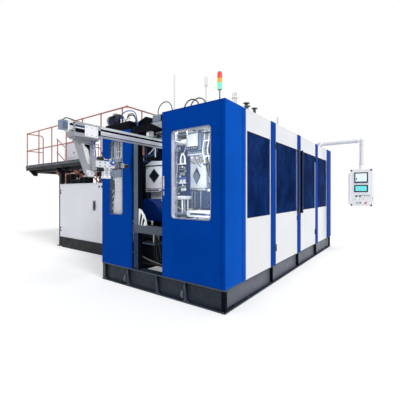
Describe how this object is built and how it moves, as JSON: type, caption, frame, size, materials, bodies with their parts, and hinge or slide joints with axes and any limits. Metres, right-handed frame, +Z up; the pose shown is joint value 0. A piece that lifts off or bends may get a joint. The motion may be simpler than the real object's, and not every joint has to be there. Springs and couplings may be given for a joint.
{
  "type": "blow moulding machine",
  "caption": "Double-station extrusion blow moulding machine for containers, with guarded clamp cell, extruder platform, take-out robot and swinging operator pendant.",
  "frame": {"origin": "on the floor, at the centre of the four anchor holes of the clamp cell's base", "axes": "+X towards the long guarded side with the doors, -X towards the extruder platform, -Y towards the product exit, +Z up"},
  "size_m": [9.774, 7.488, 4.08],
  "materials": {
    "blue_paint": "smooth gloss blue coating on folded sheet",
    "white_paint": "fine textured off-white coating on folded sheet",
    "base_paint": "dark grey paint on rolled beams",
    "frame_paint": "light grey paint on square tube",
    "black_paint": "matt black paint",
    "rail_paint": "faded red paint on round pipe",
    "cabinet_paint": "light grey coating",
    "machined_steel": "machined and ground steel",
    "mould_metal": "milled aluminium",
    "beam_metal": "anodised profile",
    "tinted_glass": "dark tinted polycarbonate pane",
    "clear_glass": "clear pane",
    "black_plastic": "moulded black plastic",
    "screen": "black bezel with a lit display",
    "green_plastic": "green push button",
    "red_plastic": "red mushroom button",
    "lamp_plastic": "clear and coloured signal lenses",
    "hose_rubber": "black rubber hose",
    "band_metal": "heater band with a ceramic terminal cover"
  },
  "bodies": {
    "machine": {"base_frame": "base_paint", "cell_frame": "frame_paint", "shuttle_rails": "machined_steel", "front_panels": "blue_paint", "side_pillars": "blue_paint", "white_panels": "white_paint", "fixed_panes": "tinted_glass", "exit_casing": "blue_paint", "door_hinges": "black_paint", "blow_bridges": "frame_paint", "die_head": "machined_steel", "barrel": "machined_steel", "heater_bands": "band_metal", "extruder_drive": "blue_paint", "feed_hopper": "machined_steel", "extruder_stand": "base_paint", "deck": "frame_paint", "platform_supports": "black_paint", "railing": "rail_paint", "stair": "rail_paint", "cabinet": "cabinet_paint", "robot_beam": "beam_metal", "feed_bin": "cabinet_paint", "stack_light": "lamp_plastic", "roof_hood": "black_paint", "roof_motor": "frame_paint", "roof_hoses": "hose_rubber"},
    "front_door": {"front_door": "blue_paint", "front_door_pane": "clear_glass", "front_door_fittings": "machined_steel"},
    "side_door_a": {"side_door_a": "white_paint", "side_door_a_pane": "tinted_glass", "side_door_a_fittings": "black_paint"},
    "side_door_b": {"side_door_b": "white_paint", "side_door_b_pane": "tinted_glass", "side_door_b_fittings": "black_paint"},
    "cabinet_door": {"cabinet_door": "cabinet_paint"},
    "cabinet_handle": {"cabinet_handle": "black_plastic"},
    "front_clamp": {"carriage_front": "frame_paint"},
    "front_left_platen": {"platen_front_left": "white_paint", "mould_front_left": "mould_metal"},
    "front_right_platen": {"platen_front_right": "white_paint", "mould_front_right": "mould_metal"},
    "rear_clamp": {"carriage_rear": "frame_paint"},
    "rear_left_platen": {"platen_rear_left": "white_paint", "mould_rear_left": "mould_metal"},
    "rear_right_platen": {"platen_rear_right": "white_paint", "mould_rear_right": "mould_metal"},
    "front_blow_unit": {"blow_unit_front": "machined_steel"},
    "rear_blow_unit": {"blow_unit_rear": "machined_steel"},
    "screw": {"screw": "machined_steel"},
    "robot_carriage": {"robot_carriage": "white_paint"},
    "left_finger": {"finger_left": "black_plastic"},
    "right_finger": {"finger_right": "black_plastic"},
    "pendant_arm": {"hmi_arm": "cabinet_paint"},
    "pendant": {"hmi_box": "cabinet_paint", "hmi_screens": "screen"},
    "start_button": {"start_button": "green_plastic"},
    "mode_selector": {"mode_selector": "black_plastic"},
    "stop_button": {"stop_button": "red_plastic"}
  },
  "joints": [
    {"name": "front_door_hinge", "type": "hinge", "parent": "machine", "child": "front_door", "pos_m": [1.2895, -3.029, 1.5], "axis": [0, 0, 1], "range_deg": [0, 110]},
    {"name": "side_door_a_hinge", "type": "hinge", "parent": "machine", "child": "side_door_a", "pos_m": [1.361, -1.3055, 1.5], "axis": [0, 0, -1], "range_deg": [0, 110]},
    {"name": "side_door_b_hinge", "type": "hinge", "parent": "machine", "child": "side_door_b", "pos_m": [1.361, 1.3475, 1.5], "axis": [0, 0, 1], "range_deg": [0, 110]},
    {"name": "cabinet_door_hinge", "type": "hinge", "parent": "machine", "child": "cabinet_door", "pos_m": [-5.0435, -1.869, 1], "axis": [0, 0, -1], "range_deg": [0, 110]},
    {"name": "cabinet_handle_turn", "type": "hinge", "parent": "cabinet_door", "child": "cabinet_handle", "pos_m": [-3.336, -1.86, 1.27], "axis": [0, -1, 0], "range_deg": [0, 90]},
    {"name": "front_clamp_shuttle", "type": "slide", "parent": "machine", "child": "front_clamp", "axis": [0, 1, 0], "range_m": [0, 1.8]},
    {"name": "front_left_closing", "type": "slide", "parent": "front_clamp", "child": "front_left_platen", "axis": [1, 0, 0], "range_m": [0, 0.3]},
    {"name": "front_right_closing", "type": "slide", "parent": "front_clamp", "child": "front_right_platen", "axis": [-1, 0, 0], "range_m": [0, 0.3]},
    {"name": "rear_clamp_shuttle", "type": "slide", "parent": "machine", "child": "rear_clamp", "axis": [0, 1, 0], "range_m": [0, 1.8]},
    {"name": "rear_left_closing", "type": "slide", "parent": "rear_clamp", "child": "rear_left_platen", "axis": [1, 0, 0], "range_m": [0, 0.3]},
    {"name": "rear_right_closing", "type": "slide", "parent": "rear_clamp", "child": "rear_right_platen", "axis": [-1, 0, 0], "range_m": [0, 0.3]},
    {"name": "front_blow_pin_down", "type": "slide", "parent": "machine", "child": "front_blow_unit", "axis": [0, 0, -1], "range_m": [0, 0.3]},
    {"name": "rear_blow_pin_down", "type": "slide", "parent": "machine", "child": "rear_blow_unit", "axis": [0, 0, -1], "range_m": [0, 0.3]},
    {"name": "screw_spin", "type": "hinge", "parent": "machine", "child": "screw", "pos_m": [-3, 0, 2.76], "axis": [1, 0, 0], "continuous": true},
    {"name": "robot_travel", "type": "slide", "parent": "machine", "child": "robot_carriage", "axis": [0, 1, 0], "range_m": [0, 1.6]},
    {"name": "left_finger_open", "type": "slide", "parent": "robot_carriage", "child": "left_finger", "axis": [-1, 0, 0], "range_m": [-0.025, 0.04]},
    {"name": "right_finger_open", "type": "slide", "parent": "robot_carriage", "child": "right_finger", "axis": [1, 0, 0], "range_m": [-0.025, 0.04]},
    {"name": "pendant_arm_swing", "type": "hinge", "parent": "machine", "child": "pendant_arm", "pos_m": [1.25, 2.18, 2.95], "axis": [0, 0, 1], "range_deg": [-55, 60]},
    {"name": "pendant_swivel", "type": "hinge", "parent": "pendant_arm", "child": "pendant", "pos_m": [2.27, 2.18, 2.25], "axis": [0, 0, 1], "range_deg": [-120, 120]},
    {"name": "start_button_press", "type": "slide", "parent": "pendant", "child": "start_button", "axis": [0, 1, 0], "range_m": [0, 0.005], "stiffness_N_per_m": 300},
    {"name": "mode_selector_turn", "type": "hinge", "parent": "pendant", "child": "mode_selector", "pos_m": [2.25, 2.087, 1.351], "axis": [0, -1, 0], "range_deg": [-45, 45]},
    {"name": "stop_button_press", "type": "slide", "parent": "pendant", "child": "stop_button", "axis": [0, 1, 0], "range_m": [0, 0.005], "stiffness_N_per_m": 400}
  ],
  "couplings": [
    {"joint": "front_right_closing", "follows": "front_left_closing", "ratio": 1},
    {"joint": "rear_right_closing", "follows": "rear_left_closing", "ratio": 1},
    {"joint": "rear_clamp_shuttle", "follows": "front_clamp_shuttle", "ratio": 1},
    {"joint": "right_finger_open", "follows": "left_finger_open", "ratio": 1}
  ]
}
